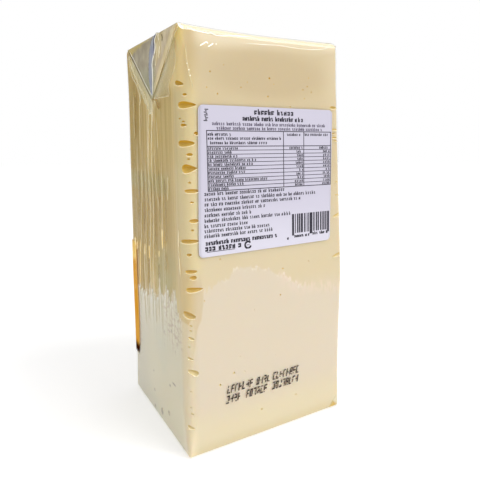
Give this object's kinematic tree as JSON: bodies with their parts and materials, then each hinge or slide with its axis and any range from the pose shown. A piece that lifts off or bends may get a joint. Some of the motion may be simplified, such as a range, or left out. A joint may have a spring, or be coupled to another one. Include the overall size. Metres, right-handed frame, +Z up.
{
  "type": "vegan mozzarella block",
  "caption": "Tall square block of plant-based mozzarella sealed in tight clear film with folded top ears, standing on its small end, with a white label on the front.",
  "frame": {"origin": "middle of the base, on the surface the block stands on", "axes": "+Z up along the block's length, -Y out of the labelled face, +X to the right of the label"},
  "size_m": [0.1091, 0.1044, 0.2363],
  "materials": {
    "cheese": "smooth pale cheese under tight clear film",
    "clear_film": "clear glossy film, creased",
    "label_paper": "white coated paper, satin",
    "ink": "black printing ink"
  },
  "bodies": {
    "root": {"mozzarella_block": "cheese", "left_ear": "clear_film", "right_ear": "clear_film", "top_seal": "clear_film", "label": "label_paper", "edge_label": "label_paper"}
  },
  "joints": []
}
